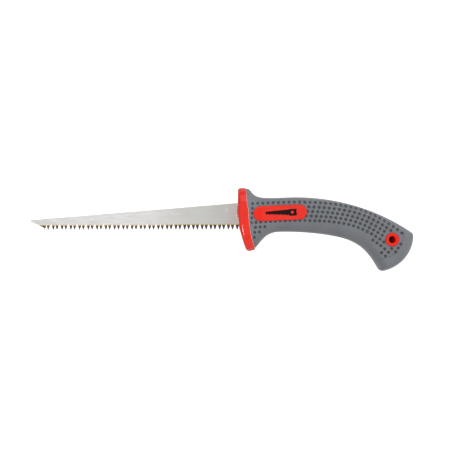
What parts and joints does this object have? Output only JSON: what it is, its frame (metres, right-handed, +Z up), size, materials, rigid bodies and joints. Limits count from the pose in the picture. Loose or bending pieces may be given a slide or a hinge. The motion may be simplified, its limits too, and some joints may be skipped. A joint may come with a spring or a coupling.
{
  "type": "drywall saw",
  "caption": "Hand-held drywall saw with a tapered toothed blade, a flared hard guard, and a curved two-colour soft-grip handle with a hanging hole.",
  "frame": {"origin": "bottom centre of the bounding box, with the saw lying on its right side", "axes": "+X from the blade's tip towards the butt of the handle, +Y from the teeth towards the blade's back, +Z up through the saw's thickness, towards its left side"},
  "size_m": [0.2766, 0.0602, 0.03],
  "materials": {
    "blade_steel": "fine brushed, satin, tempered brown at the tooth edge",
    "red_plastic": "semi-gloss moulded polypropylene",
    "grey_soft_grip": "matte soft-touch rubber with moulded pits",
    "black_ink": "pad-printed ink film"
  },
  "bodies": {
    "root": {"blade": "blade_steel", "handle_core": "red_plastic", "grip_overmould": "grey_soft_grip", "badge_print_left": "black_ink", "badge_print_right": "black_ink"}
  },
  "joints": []
}
